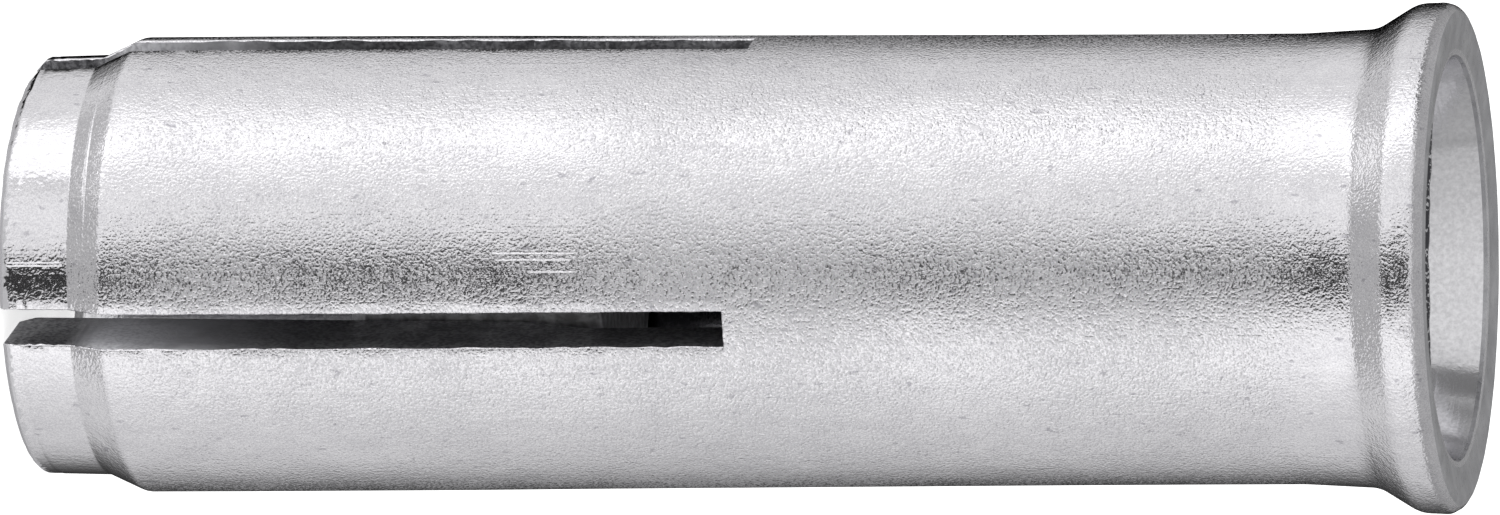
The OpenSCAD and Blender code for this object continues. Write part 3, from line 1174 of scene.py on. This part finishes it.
def make_floor():
    """A pale floor that keeps the part's soft shadow."""
    corners = np.array([(-1, -1, 0), (1, -1, 0), (1, 1, 0), (-1, 1, 0)]) * FLOOR_HALF
    material, tree, shader = new_material("pale_floor")
    feed(tree, shader, {
        "Base Color": FLOOR_GREY,
        "Roughness": FLOOR_ROUGH,
        "Specular IOR Level": 0.0,
        "Emission Color": WHITE,
        "Emission Strength": white_to_camera(tree, 0.0, FLOOR_GLOW),
    })
    mesh = bpy.data.meshes.new("floor")
    mesh.from_pydata(corners.tolist(), [], [(0, 1, 2, 3)])
    mesh.materials.append(material)
    floor = link("floor", mesh)
    floor.visible_glossy = False


def blend(value, span):
    """Rises from 0 at the span's start to 1 at its end as a smooth step."""
    return smooth(np.clip((value - span[0]) / (span[1] - span[0]), 0, 1))


def studio_level(turn, rise):
    """Brightness by direction, in degrees from the camera and above the level: the wall's table about the
    level, the strip's and the zenith's above it, the pit's and the nadir's below it, each passing into the
    next by a smooth step, with the dim edge over them."""
    shift = GAP_SHIFT * blend(-rise, GAP_FALL) * blend(GAP_REACH - np.abs(turn), GAP_TURN)
    wall = np.interp(turn - shift, WALL_TURN, WALL_LEVEL)
    strip = np.interp(turn, STRIP_TURN, STRIP_LEVEL)
    pit = np.interp(turn, PIT_TURN, PIT_LEVEL)
    pit = pit + (NADIR_LEVEL - pit) * blend(-rise, NADIR_FALL)
    level = wall + (strip - wall) * blend(rise, STRIP_RISE)
    level = level + (ZENITH_LEVEL - level) * blend(rise, ZENITH_RISE)
    level = level + (pit - level) * blend(-rise, PIT_FALL)
    across = -rise - EDGE_SLANT * (turn - EDGE_MID_TURN)
    edge = blend(across, EDGE_NEAR) * (1 - blend(across, EDGE_FAR))
    edge = edge * blend(turn, EDGE_START_TURN) * (1 - blend(turn, EDGE_END_TURN))
    return level + (EDGE_LEVEL - level) * edge


def studio_light():
    """A light whose strength is the mesh's level attribute."""
    material = bpy.data.materials.new("studio_light")
    material.use_nodes = True
    tree = material.node_tree
    tree.nodes.clear()
    level = add_node(tree, "ShaderNodeAttribute", {}, attribute_name="level").outputs["Fac"]
    glow = add_node(tree, "ShaderNodeEmission", {"Color": WHITE, "Strength": level}).outputs["Emission"]
    add_node(tree, "ShaderNodeOutputMaterial", {"Surface": glow})
    return material


def make_studio():
    """A sphere of light round the part, seen only in reflections: a point for each turn from the camera and
    rise above the level, with the brightness of its direction in an attribute."""
    turn, rise = np.meshgrid(STUDIO_TURNS, STUDIO_RISES)
    theta, lift = FRONT_ANGLE + np.radians(turn), np.radians(rise)
    sphere = np.stack([np.cos(lift) * np.cos(theta), np.cos(lift) * np.sin(theta), np.sin(lift)], 2)
    points = STUDIO_RADIUS * sphere + np.array([0, 0, centre.z])
    index = np.arange(turn.size).reshape(turn.shape)
    faces = quads(np.concatenate([index, index[:, :1]], 1)).tolist() + [index[0].tolist(), index[-1].tolist()]
    mesh = bpy.data.meshes.new("studio")
    mesh.from_pydata(points.reshape(-1, 3).tolist(), [], faces)
    attribute = mesh.attributes.new("level", "FLOAT", "POINT")
    attribute.data.foreach_set("value", studio_level(turn, rise).ravel().astype(np.float32))
    mesh.materials.append(studio_light())
    studio = link("studio", mesh)
    studio.visible_camera = False
    studio.visible_diffuse = False
    studio.visible_shadow = False


def make_world():
    """White surroundings for what the camera and reflections see, and a plain level that lights the part."""
    world = bpy.data.worlds.new("studio")
    world.use_nodes = True
    tree = world.node_tree
    strength = white_to_camera(tree, WORLD_LEVEL, 1.0)
    feed(tree, tree.nodes["Background"], {"Color": WHITE, "Strength": strength})
    bpy.context.scene.world = world


def soft_lamp(name, turn, elevation, size, distance, radiance):
    """A square soft lamp aimed at the part, with its power worked out from its radiance and area."""
    toward = FRONT_ANGLE + math.radians(turn)
    rise = math.radians(elevation)
    level = math.cos(rise)
    direction = Vector((math.cos(toward) * level, math.sin(toward) * level, math.sin(rise)))
    data = bpy.data.lights.new(name, "AREA")
    data.shape = "SQUARE"
    data.size = size
    data.energy = radiance * math.pi * size * size
    lamp = link(name, data)
    lamp.location = centre + direction * distance
    lamp.rotation_euler = direction.to_track_quat("Z", "Y").to_euler()
    lamp.visible_camera = False
    lamp.visible_glossy = False


make_world()
make_floor()
make_studio()
for lamp_settings in LAMPS:
    soft_lamp(*lamp_settings)

bpy.context.scene.view_settings.view_transform = "Standard"
